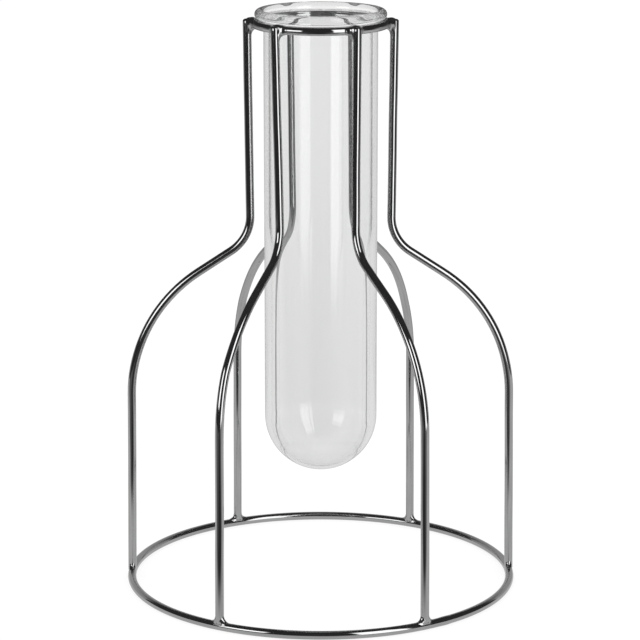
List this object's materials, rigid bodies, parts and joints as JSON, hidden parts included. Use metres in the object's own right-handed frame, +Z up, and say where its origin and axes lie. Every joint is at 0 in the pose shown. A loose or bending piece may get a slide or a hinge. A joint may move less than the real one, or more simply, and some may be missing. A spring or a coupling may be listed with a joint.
{
  "type": "test tube vase",
  "caption": "Test tube bud vase: a flared-lip glass tube hangs in a bottle-shaped cage of plated round wire, carried by the cage's top ring.",
  "frame": {"origin": "on the vase's axis, on the surface that the base ring stands on", "axes": "+Z up along the tube, out of its mouth; -Y is the side that faces the viewer; +X to the viewer's right"},
  "size_m": [0.141, 0.14, 0.2067],
  "materials": {
    "wire": "bright nickel-chrome plate on round steel wire",
    "weld": "resistance welds under the same plate, slightly uneven",
    "glass": "clear, fire-polished"
  },
  "bodies": {
    "frame": {"base_ring": "wire", "top_ring": "wire", "rib_right": "wire", "rib_back_right": "wire", "rib_back_left": "wire", "rib_left": "wire", "rib_front_left": "wire", "rib_front_right": "wire", "foot_weld_right": "weld", "foot_weld_back_right": "weld", "foot_weld_back_left": "weld", "foot_weld_left": "weld", "foot_weld_front_left": "weld", "foot_weld_front_right": "weld", "neck_weld_right": "weld", "neck_weld_back_right": "weld", "neck_weld_back_left": "weld", "neck_weld_left": "weld", "neck_weld_front_left": "weld", "neck_weld_front_right": "weld"},
    "tube": {"glass_tube": "glass"}
  },
  "joints": [
    {"name": "tube_lift", "type": "slide", "parent": "frame", "child": "tube", "axis": [0, 0, 1], "range_m": [0, 0.165]}
  ]
}
